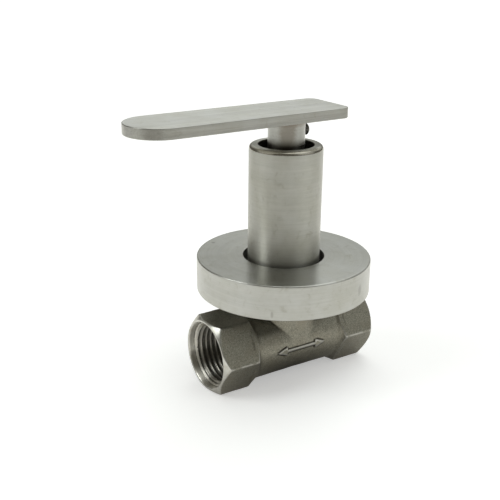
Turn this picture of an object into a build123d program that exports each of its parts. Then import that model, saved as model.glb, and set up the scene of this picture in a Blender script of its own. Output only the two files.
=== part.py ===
# Concealed quarter-turn plug valve, G 1/2 female ends, with extension spindle, cover tube,
# sliding escutcheon and flat lever.  Millimetres.
#
# Frame: the origin is the centre of the escutcheon's back face, on the stem's axis.
# +Z points out of the wall, along the stem, towards the lever.  +X runs along the pipe.
# The lever's long nose points to -X when the valve is open.

import math
import os

from build123d import *

# ---- driving dimensions ---------------------------------------------------------------

pipe_z = -18.2                 # height of the pipe's axis
port_end = 30.5                # half the body's length, face to face
thread_major_r = 10.4775       # G 1/2: 20.955 mm major diameter
hex_flats = 24.0               # across the flats of both end hexagons
plug_r = 6.5
waterway_r = 4.2
stem_r = 4.0
neck_r = 11.4
spigot_r = 10.0                # the neck's threaded top, inside the cover tube
spigot_top_z = 6.0
tube_r = 12.0
tube_bore_r = 9.0
tube_bottom_z = -3.5
tube_top_z = 49.0
tube_top_round = 1.4
tube_bore_chamfer = 0.25
spigot_space = 0.5             # above the spigot, inside the tube
disc_r = 29.0                  # escutcheon
disc_height = 11.5
lever_z = 57.3                 # underside of the lever
lever_thick = 3.4
lever_width = 20.8
lever_nose = 55.9              # stem's axis to the tip of the nose
lever_tail = 17.8              # stem's axis to the tail's end
lever_hub_r = 6.0
lever_tail_round = 3.0
lever_edge_round = 0.3

turning_gap = 0.06             # radial clearance of every turning fit
end_gap = 0.05                 # axial clearance beside a turning face
seat_gap = 0.05                # radial clearance between pieces that stay together
loose_gap = 0.1                # between pieces that only lie beside each other
close_gap = 0.02               # clearance of the pin and of the set screw's thread
past = 1.0                     # how far a cutter runs past the face it opens

# ---- body casting ----------------------------------------------------------------------

hex_corner_round = 0.4
hub_face_r = 11.8              # flat ring left by the turned chamfer on the end hexagons
hub_corner_start = 28.7        # the chamfer reaches the hexagon's corners here
hub_back = 18.0                # the corners end here
barrel_end = 16.8              # and drop steeply to the barrel here
barrel_end_r = 11.75
barrel_waist_r = 11.6
barrel_waist_half = 7.0        # half the length of the narrowest stretch
mouth_r = 11.0
mouth_depth = 2.1
mouth_chamfer = 0.25
thread_end = 17.4
cone_large_r = 9.2
cone_end = 11.0
passage_r = 4.5
chamber_r = 7.6
chamber_floor_z = -25.4
mark_half_length = 9.7
mark_head_length = 4.0
mark_head_half = 1.65
mark_shaft_half = 0.5
mark_height = 0.35
neck_groove_z = 3.0
groove_width = 1.6             # every O-ring groove
groove_depth = 1.0

# ---- plug, sleeve and the pieces above them ----------------------------------------------

bottom_washer_r = 6.3
bottom_washer_bore_r = 2.0
bottom_washer_thick = 0.4
plug_top_z = -9.6
slot_width = 3.0
slot_depth = 2.2
sleeve_top_z = -9.0
sleeve_ring_thick = 0.8
sleeve_ring_bore_r = 6.0
collar_r = 5.6
tongue_r = 5.4
collar_top_z = -7.6
thrust_washer_thick = 0.55
bonnet_thread_r = 8.2
bonnet_shoulder_z = -7.0
bonnet_flange_r = 8.8
bonnet_flange_thick = 1.0
bonnet_hex_flats = 15.0
bonnet_top_z = 11.0
bonnet_ring_z = -4.2
bush_r = 5.6
bush_length = 3.0
stem_ring_heights = (-3.0, 1.0)
stem_ring_section_r = 0.48
still_ring_section_r = 0.46    # the O-rings that nothing turns in

# ---- quarter-turn stop ---------------------------------------------------------------------

turn_angle = 90.0
tab_half_angle = 14.0
stop_slack_angle = 0.6
stop_disc_r = 5.8
stop_tab_r = 7.3
stop_rim_inner_r = 6.1
stop_rim_outer_r = 7.4
stop_rim_height = 2.2
stop_thick = 1.9
stem_flats = 6.4
clip_low_z = 13.15
clip_thick = 0.7
clip_outer_r = 5.4
clip_seat_r = 3.3
clip_opening_angle = 36.0

# ---- extension spindle, hub and set screw ----------------------------------------------------

square_side = 5.4
square_low_z = 14.0
square_top_z = 22.0
socket_r = 5.5
socket_top_z = 26.0
socket_space = 0.3             # above the stem's square
spindle_top_z = 55.6
spindle_chamfer = 0.5
spindle_flat_x = 3.0
spindle_flat_low_z = 47.0
pin_r = 1.0
pin_z = 18.2
pin_length = 10.8
guide_low_z = 33.0
guide_length = 5.0
hub_low_z = 43.0
hub_chamfer = 0.4
hub_bore_top_z = 56.2
screw_r = 2.0
screw_z = 53.1
screw_length = 4.9
screw_chamfer = 0.35
screw_socket_flats = 2.0
screw_socket_depth = 1.8

# ---- escutcheon ----------------------------------------------------------------------------

disc_plate = 2.5
disc_wall = 3.0
disc_hole_r = 13.5
disc_hole_chamfer = 0.3
disc_edge_round = 0.45
boss_r = 16.5
boss_low_z = 3.5
disc_ring_z = 6.5
disc_ring_section_r = 1.1
gasket_inner_r = 25.0
gasket_outer_r = 27.2
gasket_thick = 1.6


# ---- shared shapes ---------------------------------------------------------------------------

def rod(radius, low, high):
    """A round bar on the Z axis from low to high."""
    bar = Cylinder(radius, high - low, align=(Align.CENTER, Align.CENTER, Align.MIN))
    return Pos(0, 0, low) * bar


def ring(outer, inner, low, high):
    """A plain ring on the Z axis."""
    return rod(outer, low, high) - rod(inner, low - past, high + past)


def cross_rod(radius, length, height, direction):
    """A round bar across the Z axis, centred on it, at a height."""
    turn = Rot(0, 90, 0) if direction == "X" else Rot(90, 0, 0)
    return Pos(0, 0, height) * turn * Cylinder(radius, length)


def o_ring(middle_r, section_r, height):
    """An O-ring on the Z axis."""
    return Pos(0, 0, height) * Torus(middle_r, section_r)


def groove(outer, height):
    """What an O-ring groove removes from a round of some radius, centred at a height."""
    return ring(outer + past, outer - groove_depth, height - groove_width / 2, height + groove_width / 2)


def hexagon_bar(flats, low, high):
    """A hexagonal bar on the Z axis."""
    corner_r = flats / math.sqrt(3)
    return Pos(0, 0, low) * extrude(RegularPolygon(corner_r, 6), high - low)


def sector(outer, low, high, start, end):
    """A wedge on the Z axis between two angles, less than half a turn apart."""
    reach = outer * 2
    middle = math.radians((start + end) / 2)
    first = math.radians(start)
    last = math.radians(end)
    corners = [
        (0, 0),
        (reach * math.cos(first), reach * math.sin(first)),
        (reach * math.cos(middle), reach * math.sin(middle)),
        (reach * math.cos(last), reach * math.sin(last)),
    ]
    wedge = extrude(make_face(Polyline(corners, close=True)), high - low)
    return (Pos(0, 0, low) * wedge) & rod(outer, low, high)


def turned_on_x(corners):
    """A solid turned about the X axis from (x, radius) corners."""
    return revolve(make_face(Polyline(corners, close=True)), Axis.X)


def both_ends(solid):
    """The solid and its mirror image at the other end of the pipe."""
    return solid + mirror(solid, Plane.YZ)


# ---- body ----------------------------------------------------------------------------------------

def barrel_outline():
    """(x, radius) corners of the waisted barrel's surface, from -X to +X."""
    return [
        (-barrel_end, barrel_end_r),
        (-barrel_waist_half, barrel_waist_r),
        (barrel_waist_half, barrel_waist_r),
        (barrel_end, barrel_end_r),
    ]


def pipe_outside():
    """Both end hexagons and the barrel between them: a hexagonal bar turned down on the X axis."""
    corner_r = hex_flats / math.sqrt(3)
    flat_shape = RegularPolygon(corner_r, 6)
    flat_shape = fillet(flat_shape.vertices(), hex_corner_round)
    bar = extrude(Plane.YZ * flat_shape, port_end, both=True)
    end_outline = [
        (hub_back, corner_r),
        (hub_corner_start, corner_r),
        (port_end, hub_face_r),
        (port_end, 0),
    ]
    mirrored = [(-x, radius) for x, radius in reversed(end_outline)]
    return bar & turned_on_x(mirrored + barrel_outline() + end_outline)


def port_cutter():
    """What the +X port removes: mouth, thread bore, cone and passage."""
    return turned_on_x([
        (0, 0),
        (0, passage_r),
        (cone_end, passage_r),
        (thread_end, cone_large_r),
        (thread_end, thread_major_r),
        (port_end - mouth_depth, thread_major_r),
        (port_end - mouth_depth, mouth_r),
        (port_end - mouth_chamfer, mouth_r),
        (port_end + past, mouth_r + mouth_chamfer + past),
        (port_end + past, 0),
    ])


def cast_mark():
    """A plain raised double-ended arrow along the barrel's side: flow runs either way."""
    neck_x = mark_half_length - mark_head_length
    corners = [
        (mark_half_length, 0),
        (neck_x, mark_head_half),
        (neck_x, mark_shaft_half),
        (-neck_x, mark_shaft_half),
        (-neck_x, mark_head_half),
        (-mark_half_length, 0),
        (-neck_x, -mark_head_half),
        (-neck_x, -mark_shaft_half),
        (neck_x, -mark_shaft_half),
        (neck_x, -mark_head_half),
    ]
    arrow = extrude(Plane.XZ * make_face(Polyline(corners, close=True)), hex_flats)
    raised = [(x, radius + mark_height) for x, radius in barrel_outline()]
    return arrow & turned_on_x([(-barrel_end, 0)] + raised + [(barrel_end, 0)])


def valve_body():
    shell = pipe_outside() + rod(neck_r, 0, tube_bottom_z - pipe_z)
    shell = shell + rod(spigot_r, 0, spigot_top_z - pipe_z)
    shell = shell + cast_mark()
    shell = shell - both_ends(port_cutter())
    shell = Pos(0, 0, pipe_z) * shell
    thread_low_z = sleeve_top_z + sleeve_ring_thick
    shell = shell - rod(chamber_r, chamber_floor_z, thread_low_z)
    shell = shell - rod(bonnet_thread_r, thread_low_z, spigot_top_z + past)
    return shell - groove(spigot_r, neck_groove_z)


# ---- plug and seat ---------------------------------------------------------------------------------

def bottom_washer():
    high = chamber_floor_z + bottom_washer_thick
    return ring(bottom_washer_r, bottom_washer_bore_r, chamber_floor_z, high)


def plug():
    low = chamber_floor_z + bottom_washer_thick + end_gap
    body = rod(plug_r, low, plug_top_z)
    body = body - cross_rod(waterway_r, 3 * plug_r, pipe_z, "X")
    slot = Box(3 * plug_r, slot_width, 2 * slot_depth)
    return body - Pos(0, 0, plug_top_z) * slot


def plug_sleeve():
    sleeve = ring(chamber_r, plug_r + turning_gap, chamber_floor_z, sleeve_top_z)
    return sleeve - cross_rod(waterway_r, 3 * chamber_r, pipe_z, "X")


def sleeve_ring():
    return ring(chamber_r, sleeve_ring_bore_r, sleeve_top_z, sleeve_top_z + sleeve_ring_thick)


# ---- stem and its seals -------------------------------------------------------------------------------

def stem():
    collar_low = plug_top_z + loose_gap
    shaft = rod(collar_r, collar_low, collar_top_z) + rod(stem_r, collar_top_z, square_low_z)
    tongue = Pos(0, 0, collar_low - slot_depth / 2) * Box(
        2 * collar_r, slot_width - 2 * seat_gap, slot_depth
    )
    shaft = shaft + (tongue & rod(tongue_r, collar_low - slot_depth, collar_low))
    for height in stem_ring_heights:
        shaft = shaft - groove(stem_r, height)
    side = Box(3 * stem_r, stem_r, clip_low_z - bonnet_top_z)
    side_z = (clip_low_z + bonnet_top_z) / 2
    side_y = stem_flats / 2 + stem_r / 2
    for way in (-1, 1):
        shaft = shaft - Pos(0, way * side_y, side_z) * side
    clip_high_z = clip_low_z + clip_thick
    shaft = shaft - ring(stem_r + past, clip_seat_r, clip_low_z - end_gap, clip_high_z + end_gap)
    square_height = square_top_z - square_low_z
    square = Box(square_side, square_side, square_height)
    shaft = shaft + Pos(0, 0, square_low_z + square_height / 2) * square
    return shaft - cross_rod(pin_r, 4 * square_side, pin_z, "Y")


def stem_o_rings():
    middle = stem_r + turning_gap - end_gap - stem_ring_section_r
    return [o_ring(middle, stem_ring_section_r, height) for height in stem_ring_heights]


def thrust_washer():
    low = bonnet_shoulder_z - thrust_washer_thick
    return ring(sleeve_ring_bore_r - loose_gap, stem_r + loose_gap, low, bonnet_shoulder_z)


# ---- bonnet ------------------------------------------------------------------------------------------------

def bonnet():
    low = sleeve_top_z + sleeve_ring_thick
    flange_top = spigot_top_z + bonnet_flange_thick
    outside = rod(bonnet_thread_r - seat_gap, low, spigot_top_z)
    outside = outside + rod(bonnet_flange_r, spigot_top_z, flange_top)
    outside = outside + hexagon_bar(bonnet_hex_flats, flange_top, bonnet_top_z)
    rim_top = bonnet_top_z + stop_rim_height
    rim = ring(stop_rim_outer_r, stop_rim_inner_r, bonnet_top_z, rim_top)
    reach = tab_half_angle + stop_slack_angle
    rim = rim - sector(bonnet_flange_r, bonnet_top_z, rim_top + past, -turn_angle - reach, reach)
    outside = outside + rim
    outside = outside - rod(sleeve_ring_bore_r, low - past, bonnet_shoulder_z)
    outside = outside - rod(stem_r + turning_gap, low, rim_top)
    outside = outside - rod(bush_r, bonnet_top_z - bush_length, bonnet_top_z)
    return outside - groove(bonnet_thread_r, bonnet_ring_z)


def bonnet_o_ring():
    return o_ring(bonnet_thread_r - seat_gap - still_ring_section_r, still_ring_section_r, bonnet_ring_z)


def stem_bush():
    return ring(bush_r - seat_gap, stem_r + turning_gap, bonnet_top_z - bush_length, bonnet_top_z)


def stop_washer():
    low = bonnet_top_z + end_gap
    high = low + stop_thick
    tab = sector(stop_tab_r, low, high, -tab_half_angle, tab_half_angle)
    disc = rod(stop_disc_r, low, high) + tab
    hole = rod(stem_r + seat_gap, low - past, high + past)
    hole = hole & Box(4 * stem_r, stem_flats + 2 * seat_gap, 4 * bonnet_top_z)
    return disc - hole


def retaining_ring():
    high = clip_low_z + clip_thick
    clip = ring(clip_outer_r, clip_seat_r + seat_gap, clip_low_z, high)
    half = clip_opening_angle / 2
    return clip - sector(clip_outer_r + past, clip_low_z - past, high + past, 180 - half, 180 + half)


# ---- extension spindle and handle --------------------------------------------------------------------------

def extension_spindle():
    low = square_low_z + loose_gap
    bar = rod(socket_r, low, socket_top_z) + rod(stem_r, socket_top_z, spindle_top_z)
    bar = chamfer(bar.faces().sort_by(Axis.Z)[-1].edges(), spindle_chamfer)
    socket_side = square_side + 2 * seat_gap
    socket_height = square_top_z + socket_space - low
    bar = bar - Pos(0, 0, low + socket_height / 2) * Box(socket_side, socket_side, socket_height)
    flat_height = spindle_top_z - spindle_flat_low_z
    flat = Box(stem_r, 3 * stem_r, flat_height)
    bar = bar - Pos(spindle_flat_x + stem_r / 2, 0, spindle_flat_low_z + flat_height / 2) * flat
    return bar - cross_rod(pin_r, 4 * socket_r, pin_z, "Y")


def spindle_pin():
    return cross_rod(pin_r - close_gap, pin_length, pin_z, "Y")


def guide_bush():
    outer = tube_bore_r - seat_gap
    return ring(outer, stem_r + turning_gap, guide_low_z, guide_low_z + guide_length)


def lever_hub():
    hub = rod(lever_hub_r, hub_low_z, lever_z)
    hub = chamfer(hub.faces().sort_by(Axis.Z)[0].edges(), hub_chamfer)
    hub = hub - rod(stem_r + seat_gap, hub_low_z - past, hub_bore_top_z)
    screw_hole = Pos(lever_hub_r, 0, screw_z) * Rot(0, 90, 0) * Cylinder(screw_r, 2 * lever_hub_r)
    return hub - screw_hole


def lever_bar():
    half = lever_width / 2
    nose_centre = -lever_nose + half
    outline = Polyline((nose_centre, half), (lever_tail, half), (lever_tail, -half), (nose_centre, -half))
    outline += ThreePointArc((nose_centre, -half), (-lever_nose, 0), (nose_centre, half))
    bar = Pos(0, 0, lever_z) * extrude(make_face(outline), lever_thick)
    tail_corners = bar.edges().filter_by(Axis.Z).group_by(Axis.X)[-1]
    bar = fillet(tail_corners, lever_tail_round)
    top = bar.faces().sort_by(Axis.Z)[-1]
    bottom = bar.faces().sort_by(Axis.Z)[0]
    return fillet(top.edges() + bottom.edges(), lever_edge_round)


def set_screw():
    start = spindle_flat_x + close_gap
    bar = Rot(0, 90, 0) * Cylinder(screw_r - close_gap, screw_length)
    screw = Pos(start + screw_length / 2, 0, 0) * bar
    screw = chamfer(screw.edges().filter_by(GeomType.CIRCLE), screw_chamfer)
    socket = hexagon_bar(screw_socket_flats, 0, 2 * screw_socket_depth)
    socket_start = start + screw_length - screw_socket_depth
    screw = screw - Pos(socket_start, 0, 0) * Rot(0, 90, 0) * socket
    return Pos(0, 0, screw_z) * screw


# ---- cover tube and escutcheon ---------------------------------------------------------------------------

def cover_tube():
    tube = rod(tube_r, tube_bottom_z, tube_top_z)
    top_edge = tube.faces().sort_by(Axis.Z)[-1].edges()
    tube = fillet(top_edge, tube_top_round)
    tube = tube - rod(tube_bore_r, tube_bottom_z - past, tube_top_z + past)
    tube = tube - rod(spigot_r + seat_gap, tube_bottom_z - past, spigot_top_z + spigot_space)
    inner_top = tube.faces().sort_by(Axis.Z)[-1].edges().sort_by(SortBy.RADIUS)[0]
    return chamfer(inner_top, tube_bore_chamfer)


def neck_o_ring():
    return o_ring(spigot_r - still_ring_section_r, still_ring_section_r, neck_groove_z)


def escutcheon():
    shell = rod(disc_r, 0, disc_height)
    shell = fillet(shell.faces().sort_by(Axis.Z)[-1].edges(), disc_edge_round)
    plate_low = disc_height - disc_plate
    shell = shell - ring(disc_r - disc_wall, boss_r, -past, plate_low)
    shell = shell - rod(boss_r + past, -past, boss_low_z)
    shell = shell - rod(disc_hole_r, -past, disc_height + past)
    shell = shell - rod(gasket_outer_r, -past, gasket_thick)
    groove_half = disc_ring_section_r + end_gap
    groove_r = tube_r + 2 * disc_ring_section_r + 2 * end_gap
    shell = shell - rod(groove_r, disc_ring_z - groove_half, disc_ring_z + groove_half)
    hole_edge = shell.faces().sort_by(Axis.Z)[-1].edges().sort_by(SortBy.RADIUS)[0]
    return chamfer(hole_edge, disc_hole_chamfer)


def escutcheon_o_ring():
    middle = tube_r + end_gap + disc_ring_section_r
    return o_ring(middle, disc_ring_section_r, disc_ring_z)


def escutcheon_gasket():
    return ring(gasket_outer_r - seat_gap, gasket_inner_r, 0, gasket_thick)


# ---- files -------------------------------------------------------------------------------------------------

PARTS = [
    valve_body,
    bottom_washer,
    plug,
    plug_sleeve,
    sleeve_ring,
    stem,
    stem_o_rings,
    thrust_washer,
    bonnet,
    bonnet_o_ring,
    stem_bush,
    stop_washer,
    retaining_ring,
    extension_spindle,
    spindle_pin,
    guide_bush,
    lever_hub,
    lever_bar,
    set_screw,
    cover_tube,
    neck_o_ring,
    escutcheon,
    escutcheon_o_ring,
    escutcheon_gasket,
]

os.makedirs("parts", exist_ok=True)
for make in PARTS:
    made = make()
    if isinstance(made, list):
        made = Compound(children=made)
    made.label = make.__name__
    export_step(made, f"parts/{make.__name__}.step")
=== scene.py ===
# Looks of the concealed quarter-turn valve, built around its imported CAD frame.
# Shapes are worked out in millimetres and turned into metres when a mesh is made.

import math

import bpy
import numpy as np
from mathutils import Matrix, Vector


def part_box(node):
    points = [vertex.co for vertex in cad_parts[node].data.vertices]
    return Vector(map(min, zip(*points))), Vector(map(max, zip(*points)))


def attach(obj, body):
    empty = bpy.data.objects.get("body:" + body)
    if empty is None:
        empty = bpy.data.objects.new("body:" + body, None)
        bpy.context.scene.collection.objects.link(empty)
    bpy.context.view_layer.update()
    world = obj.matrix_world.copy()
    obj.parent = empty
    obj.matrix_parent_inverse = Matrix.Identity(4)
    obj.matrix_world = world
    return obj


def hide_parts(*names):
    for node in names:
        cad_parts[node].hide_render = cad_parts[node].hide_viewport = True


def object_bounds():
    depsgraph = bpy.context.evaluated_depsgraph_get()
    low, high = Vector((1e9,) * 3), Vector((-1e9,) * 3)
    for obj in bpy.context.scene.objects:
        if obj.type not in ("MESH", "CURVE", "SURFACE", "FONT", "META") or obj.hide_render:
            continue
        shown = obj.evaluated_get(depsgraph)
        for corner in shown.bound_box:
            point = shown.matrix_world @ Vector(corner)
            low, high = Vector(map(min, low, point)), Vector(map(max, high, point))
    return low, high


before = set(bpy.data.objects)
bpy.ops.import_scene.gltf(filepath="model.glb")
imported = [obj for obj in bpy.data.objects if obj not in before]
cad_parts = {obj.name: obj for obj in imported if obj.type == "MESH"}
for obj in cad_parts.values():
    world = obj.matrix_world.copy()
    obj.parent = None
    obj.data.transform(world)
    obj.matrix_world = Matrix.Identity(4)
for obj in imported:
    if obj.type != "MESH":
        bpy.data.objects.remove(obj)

cad_low, cad_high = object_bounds()
MM = 0.001


def corner_mm(node):
    """Lowest and highest corner of a CAD node, in millimetres."""
    low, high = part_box(node)
    return np.array(low) / MM, np.array(high) / MM


body_low, body_high = corner_mm("valve_body")
tube_low, tube_high = corner_mm("cover_tube")
disc_low, disc_high = corner_mm("escutcheon")
lever_low, lever_high = corner_mm("lever_bar")
hub_low, hub_high = corner_mm("lever_hub")
screw_low, screw_high = corner_mm("set_screw")
gasket_low, gasket_high = corner_mm("escutcheon_gasket")
sleeve_low, sleeve_high = corner_mm("plug_sleeve")

# ---- sizes the frame doesn't give, in millimetres --------------------------------------------

hex_flats = 24.0
hub_face_r = 11.8              # flat ring inside the turned chamfer of an end hexagon
hub_corner_start = 28.7
hub_back = 18.0
hub_fillet = 1.3
hex_corner_round = 0.45
shoulder_round = 0.35
chamfer_round = 0.12
barrel_end = 16.8
barrel_end_r = 11.75
barrel_waist_r = 11.6
barrel_overlap = 1.0           # how far the barrel runs on into the hexagons
neck_r = 11.4
neck_fillet = 0.5
spigot_r = 10.0
mouth_r = 11.0
mouth_depth = 2.1
mouth_chamfer = 0.35
mouth_round = 0.1
mouth_step_round = 0.2
lead_depth = 1.2
lead_overlap = 0.1             # the lead cone starts and ends this far past the thread
lead_round = 0.12
thread_end = 17.4
thread_major_r = 10.4
thread_minor_r = 9.3155
thread_pitch = 1.8143
thread_round = 0.15
flank_share = 0.6              # a gap across a thread's flank, as a share of one along the radius
cone_large_r = 9.2
cone_end = 11.0
passage_r = 4.5
bonnet_thread_r = 8.2
bonnet_thread_z = -8.2
bore_round = 0.1
neck_groove_z = 3.0
neck_groove_half = 0.8
neck_groove_depth = 1.0
mark_half_length = 9.7
mark_head_length = 4.0
mark_head_half = 1.65
mark_shaft_half = 0.5
mark_shaft_gap = 1.0           # the shaft ends this far short of the points
mark_height = 0.35
mark_fillet = 0.15
parting_height = 0.07          # the mould's parting line
parting_half = 0.22
parting_inner_r = 9.0          # none inside the bores
swell_size = 7.0               # the casting's surface isn't quite true
swell_height = 0.018
ripple_size = 2.2
ripple_height = 0.008

tube_bore_r = 9.0
tube_edge_r = 1.4
tube_shoulder_z = 6.5          # the bore narrows to the spigot below this
tube_gap = 0.05                # round the spigot
disc_hole_r = 13.5
disc_plate = 2.5
disc_wall = 3.0
disc_boss_r = 16.5
disc_boss_z = 3.5
disc_groove_r = 14.3
disc_groove_z = 6.5
disc_groove_half = 1.15
disc_edge_r = 0.55
gasket_inner_r = 25.0
gasket_gap = 0.05              # round the gasket

hub_bore_r = 4.05
hub_bore_top = 56.2
hub_foot_round = 0.5
hub_edge_round = 0.12
weld_r = 0.45
weld_fillet = 0.3
weld_ripple = 0.06
weld_ripple_size = 1.6
tint_depth = 2.2               # heat tint under the weld
# painted shade on the hub: strongest below the first height, gone above the second
hub_shade_full_z = 49.0
hub_shade_end_z = 51.5
screw_z = 53.1
screw_major_r = 1.98
screw_minor_r = 1.56
screw_pitch = 0.7
screw_gap = 0.04               # round the screw, in the hub
screw_chamfer = 0.45
screw_tip_chamfer = 0.5
screw_chamfer_round = 0.05
screw_end_round = 0.08
screw_socket_flats = 2.0
screw_socket_depth = 1.8
screw_socket_corner_round = 0.05
screw_socket_edge_round = 0.06

lever_edge_r = 0.3
lever_tail_r = 3.0

# ---- sizes worked out from the frame ---------------------------------------------------------

pipe_z = body_low[2] + hex_flats / 2
port_end = body_high[0]
chamber_r = sleeve_high[0]
chamber_floor_z = sleeve_low[2]
lead_start = port_end - mouth_depth
lead_end = lead_start - lead_depth
hex_corner_r = hex_flats / math.sqrt(3)


# ---- meshes ----------------------------------------------------------------------------------

def make_piece(name, points, faces, body, replaced):
    """A smooth mesh piece from points in millimetres, in the place of a CAD node."""
    mesh = bpy.data.meshes.new(name)
    mesh.from_pydata((np.asarray(points, float) * MM).tolist(), [], faces)
    mesh.validate()
    mesh.shade_smooth()
    piece = bpy.data.objects.new(name, mesh)
    bpy.context.scene.collection.objects.link(piece)
    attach(piece, body)
    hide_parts(replaced)
    return piece


def rounded(corners, arc_steps=7, hold=0.12, longest=2.5):
    """A closed outline from (a, b, radius) corners: arcs at the corners, even points between."""
    count = len(corners)
    runs = []
    for i, (a, b, radius) in enumerate(corners):
        here = np.array([a, b], float)
        back = np.array(corners[i - 1][:2], float) - here
        ahead = np.array(corners[(i + 1) % count][:2], float) - here
        back /= np.linalg.norm(back)
        ahead /= np.linalg.norm(ahead)
        half = math.acos(np.clip(np.dot(back, ahead), -1, 1)) / 2
        if radius == 0:
            runs.append([here])
            continue
        reach = radius / math.tan(half)
        middle = back + ahead
        middle /= np.linalg.norm(middle)
        centre = here + middle * radius / math.sin(half)
        start = here + back * reach - centre
        turn = math.pi - 2 * half
        if start[0] * ahead[1] - start[1] * ahead[0] < 0:
            turn = -turn
        arc = []
        for k in range(arc_steps + 1):
            angle = turn * k / arc_steps
            c, s = math.cos(angle), math.sin(angle)
            arc.append(centre + [start[0] * c - start[1] * s, start[0] * s + start[1] * c])
        runs.append(arc)
    outline = []
    for i in range(count):
        outline += runs[i]
        first = runs[i][-1]
        last = runs[(i + 1) % count][0]
        length = np.linalg.norm(last - first)
        if length < 4 * hold:
            continue
        inner = max(1, math.ceil((length - 2 * hold) / longest))
        along = [hold + (length - 2 * hold) * k / inner for k in range(inner + 1)]
        outline += [first + (last - first) * d / length for d in along]
    return np.array(outline)


def turned(outline, steps):
    """Points and quads of a closed (radius, height) outline turned about the Z axis."""
    count = len(outline)
    angles = np.arange(steps) * 2 * math.pi / steps
    radius, height = outline[:, 0], outline[:, 1]
    points = np.empty((steps, count, 3))
    points[:, :, 0] = np.cos(angles)[:, None] * radius
    points[:, :, 1] = np.sin(angles)[:, None] * radius
    points[:, :, 2] = height
    faces = []
    for i in range(steps):
        j = (i + 1) % steps
        for k in range(count):
            n = (k + 1) % count
            faces.append((i * count + k, j * count + k, j * count + n, i * count + n))
    return points.reshape(-1, 3), faces


def soft_min(a, b, blend):
    """The smaller of two distances, with a fillet about as wide as blend."""
    near = np.maximum(blend - np.abs(a - b), 0) / blend
    return np.minimum(a, b) - near * near * blend / 4


def soft_max(a, b, blend):
    """The larger of two distances, with an edge rounded about as wide as blend."""
    return -soft_min(-a, -b, blend)


def waves(x, y, z, size, seed, count=7):
    """Smooth bumps about one high and size across, from seeded sine waves."""
    dice = np.random.default_rng(seed)
    total = 0.0
    for _ in range(count):
        way = dice.normal(size=3)
        way *= 2 * math.pi / size * dice.uniform(0.6, 1.4) / np.linalg.norm(way)
        total = total + np.sin(way[0] * x + way[1] * y + way[2] * z + dice.uniform(0, 2 * math.pi))
    return total / math.sqrt(count)


def slopes(distance, points):
    """Unit gradients of a distance function at points."""
    nudge = 0.01
    found = np.empty_like(points)
    for axis in range(3):
        step = np.zeros(3)
        step[axis] = nudge
        ahead = distance(*(points + step).T)
        behind = distance(*(points - step).T)
        found[:, axis] = ahead - behind
    return found / np.maximum(np.linalg.norm(found, axis=1, keepdims=True), 1e-9)


PAIRS = ((0, 0), (0, 1), (0, 2), (1, 1), (1, 2), (2, 2))


def contour(distance, low, high, step):
    """Points and quads where distance is zero, one point a cell, drawn to the shape's edges."""
    counts = np.ceil((np.array(high) - low) / step).astype(int) + 1
    axes = [low[i] + step * np.arange(counts[i]) for i in range(3)]
    field = np.empty(counts, np.float64)
    slab = 24
    for i in range(0, counts[0], slab):
        grid = np.meshgrid(axes[0][i:i + slab], axes[1], axes[2], indexing="ij", sparse=True)
        field[i:i + slab] = distance(*grid)
    inside = field < 0
    cell_counts = counts - 1
    total = int(np.prod(cell_counts))
    sums = np.zeros((13, total))   # a cell's count, points, pairs of normals, pulls
    quads = []
    for axis in range(3):
        first = [slice(None)] * 3
        second = [slice(None)] * 3
        first[axis] = slice(0, -1)
        second[axis] = slice(1, None)
        where = np.argwhere(inside[tuple(first)] != inside[tuple(second)])
        one = np.zeros(3, int)
        one[axis] = 1
        low_value = field[tuple(where.T)]
        high_value = field[tuple((where + one).T)]
        share = low_value / (low_value - high_value)
        points = np.array(low) + step * (where + share[:, None] * one)
        normals = slopes(distance, points)
        side, up = (axis + 1) % 3, (axis + 2) % 3
        ring = []
        for a, b in ((-1, -1), (0, -1), (0, 0), (-1, 0)):
            cell = where.copy()
            cell[:, side] += a
            cell[:, up] += b
            ring.append(np.ravel_multi_index(cell.T, cell_counts))
        along = (normals * points).sum(1)
        facts = [np.ones(len(points)), *points.T]
        facts += [normals[:, i] * normals[:, j] for i, j in PAIRS]
        facts += [normals[:, i] * along for i in range(3)]
        for cell in ring:
            for row, fact in enumerate(facts):
                sums[row] += np.bincount(cell, fact, minlength=total)
        ring = np.array(ring).T
        flip = low_value > 0
        ring[flip] = ring[flip][:, ::-1]
        quads.append(ring)
    cells = np.flatnonzero(sums[0])
    sums = sums[:, cells]
    mean = (sums[1:4] / sums[0]).T
    spread = np.empty((len(cells), 3, 3))
    for row, (i, j) in enumerate(PAIRS):
        spread[:, i, j] = spread[:, j, i] = sums[4 + row]
    pull = sums[10:13].T - np.einsum("nij,nj->ni", spread, mean)
    stay = 0.05
    shift = np.linalg.solve(spread + stay * np.eye(3), pull[:, :, None])[:, :, 0]
    points = mean + shift
    corner = np.array(np.unravel_index(cells, cell_counts)).T
    cell_low = np.array(low) + step * corner
    points = np.clip(points, cell_low, cell_low + step)
    order = np.full(total, -1)
    order[cells] = np.arange(len(cells))
    faces = order[np.concatenate(quads)]
    return points, faces.tolist()


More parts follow.
